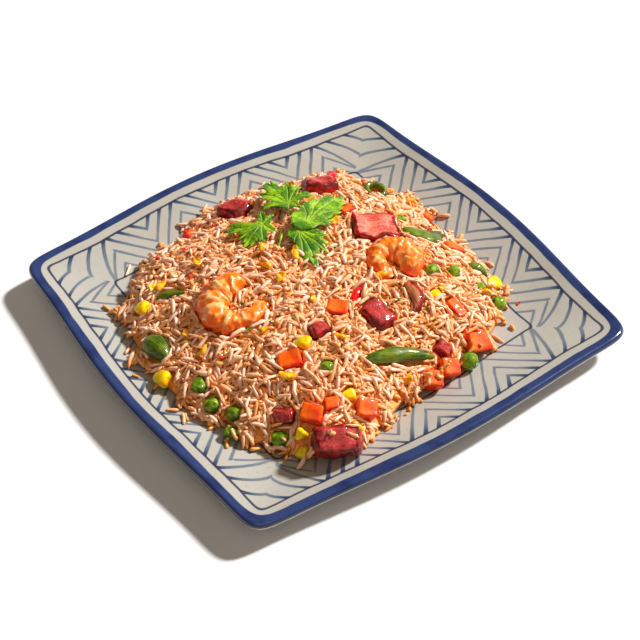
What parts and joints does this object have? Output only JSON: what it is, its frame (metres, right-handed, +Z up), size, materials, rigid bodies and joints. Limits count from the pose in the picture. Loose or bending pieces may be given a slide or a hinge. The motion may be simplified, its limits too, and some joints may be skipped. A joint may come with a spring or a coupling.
{
  "type": "plate of fried rice",
  "caption": "Fried rice heaped on a square blue-and-white plate, with shrimps, roast pork, diced vegetables and a coriander sprig.",
  "frame": {"origin": "centre of the plate, on the table under its foot ring", "axes": "+Z up, X and Y along the plate's sides, -Y the side nearer to the larger shrimp"},
  "size_m": [0.2442, 0.2442, 0.0487],
  "materials": {
    "glazed_ceramic": "glossy off-white glaze with a blue painted border",
    "fried_rice": "lightly oiled cooked rice",
    "cooked_shrimp": "moist orange and white",
    "roast_pork": "dark red glazed meat",
    "carrot": "moist orange",
    "pea": "moist green",
    "corn": "moist yellow",
    "green_bean": "moist dark green",
    "red_pepper": "moist red",
    "coriander": "fresh green leaf"
  },
  "bodies": {
    "root": {"plate": "glazed_ceramic", "rice_heap": "fried_rice", "shrimp_1": "cooked_shrimp", "shrimp_2": "cooked_shrimp", "roast_pork_1": "roast_pork", "roast_pork_2": "roast_pork", "roast_pork_3": "roast_pork", "roast_pork_4": "roast_pork", "roast_pork_5": "roast_pork", "roast_pork_6": "roast_pork", "roast_pork_7": "roast_pork", "roast_pork_8": "roast_pork", "pork_crescent_1": "roast_pork", "carrot_dice_1": "carrot", "carrot_dice_2": "carrot", "carrot_dice_3": "carrot", "carrot_dice_4": "carrot", "carrot_dice_5": "carrot", "carrot_dice_6": "carrot", "carrot_dice_7": "carrot", "carrot_dice_8": "carrot", "carrot_dice_9": "carrot", "carrot_dice_10": "carrot", "carrot_dice_11": "carrot", "carrot_dice_12": "carrot", "carrot_dice_13": "carrot", "pea_1": "pea", "pea_2": "pea", "pea_3": "pea", "pea_4": "pea", "pea_5": "pea", "pea_6": "pea", "pea_7": "pea", "pea_8": "pea", "pea_9": "pea", "pea_10": "pea", "pea_11": "pea", "pea_12": "pea", "corn_kernel_1": "corn", "corn_kernel_2": "corn", "corn_kernel_3": "corn", "corn_kernel_4": "corn", "corn_kernel_5": "corn", "corn_kernel_6": "corn", "corn_kernel_7": "corn", "corn_kernel_8": "corn", "green_bean_1": "green_bean", "green_bean_2": "green_bean", "green_bean_3": "green_bean", "green_bean_4": "green_bean", "bean_slice_1": "green_bean", "bean_ring_1": "green_bean", "red_pepper_1": "red_pepper", "red_pepper_2": "red_pepper", "coriander_leaf_1": "coriander", "coriander_leaf_2": "coriander", "coriander_leaf_3": "coriander", "coriander_leaf_4": "coriander", "coriander_stem": "coriander"}
  },
  "joints": []
}
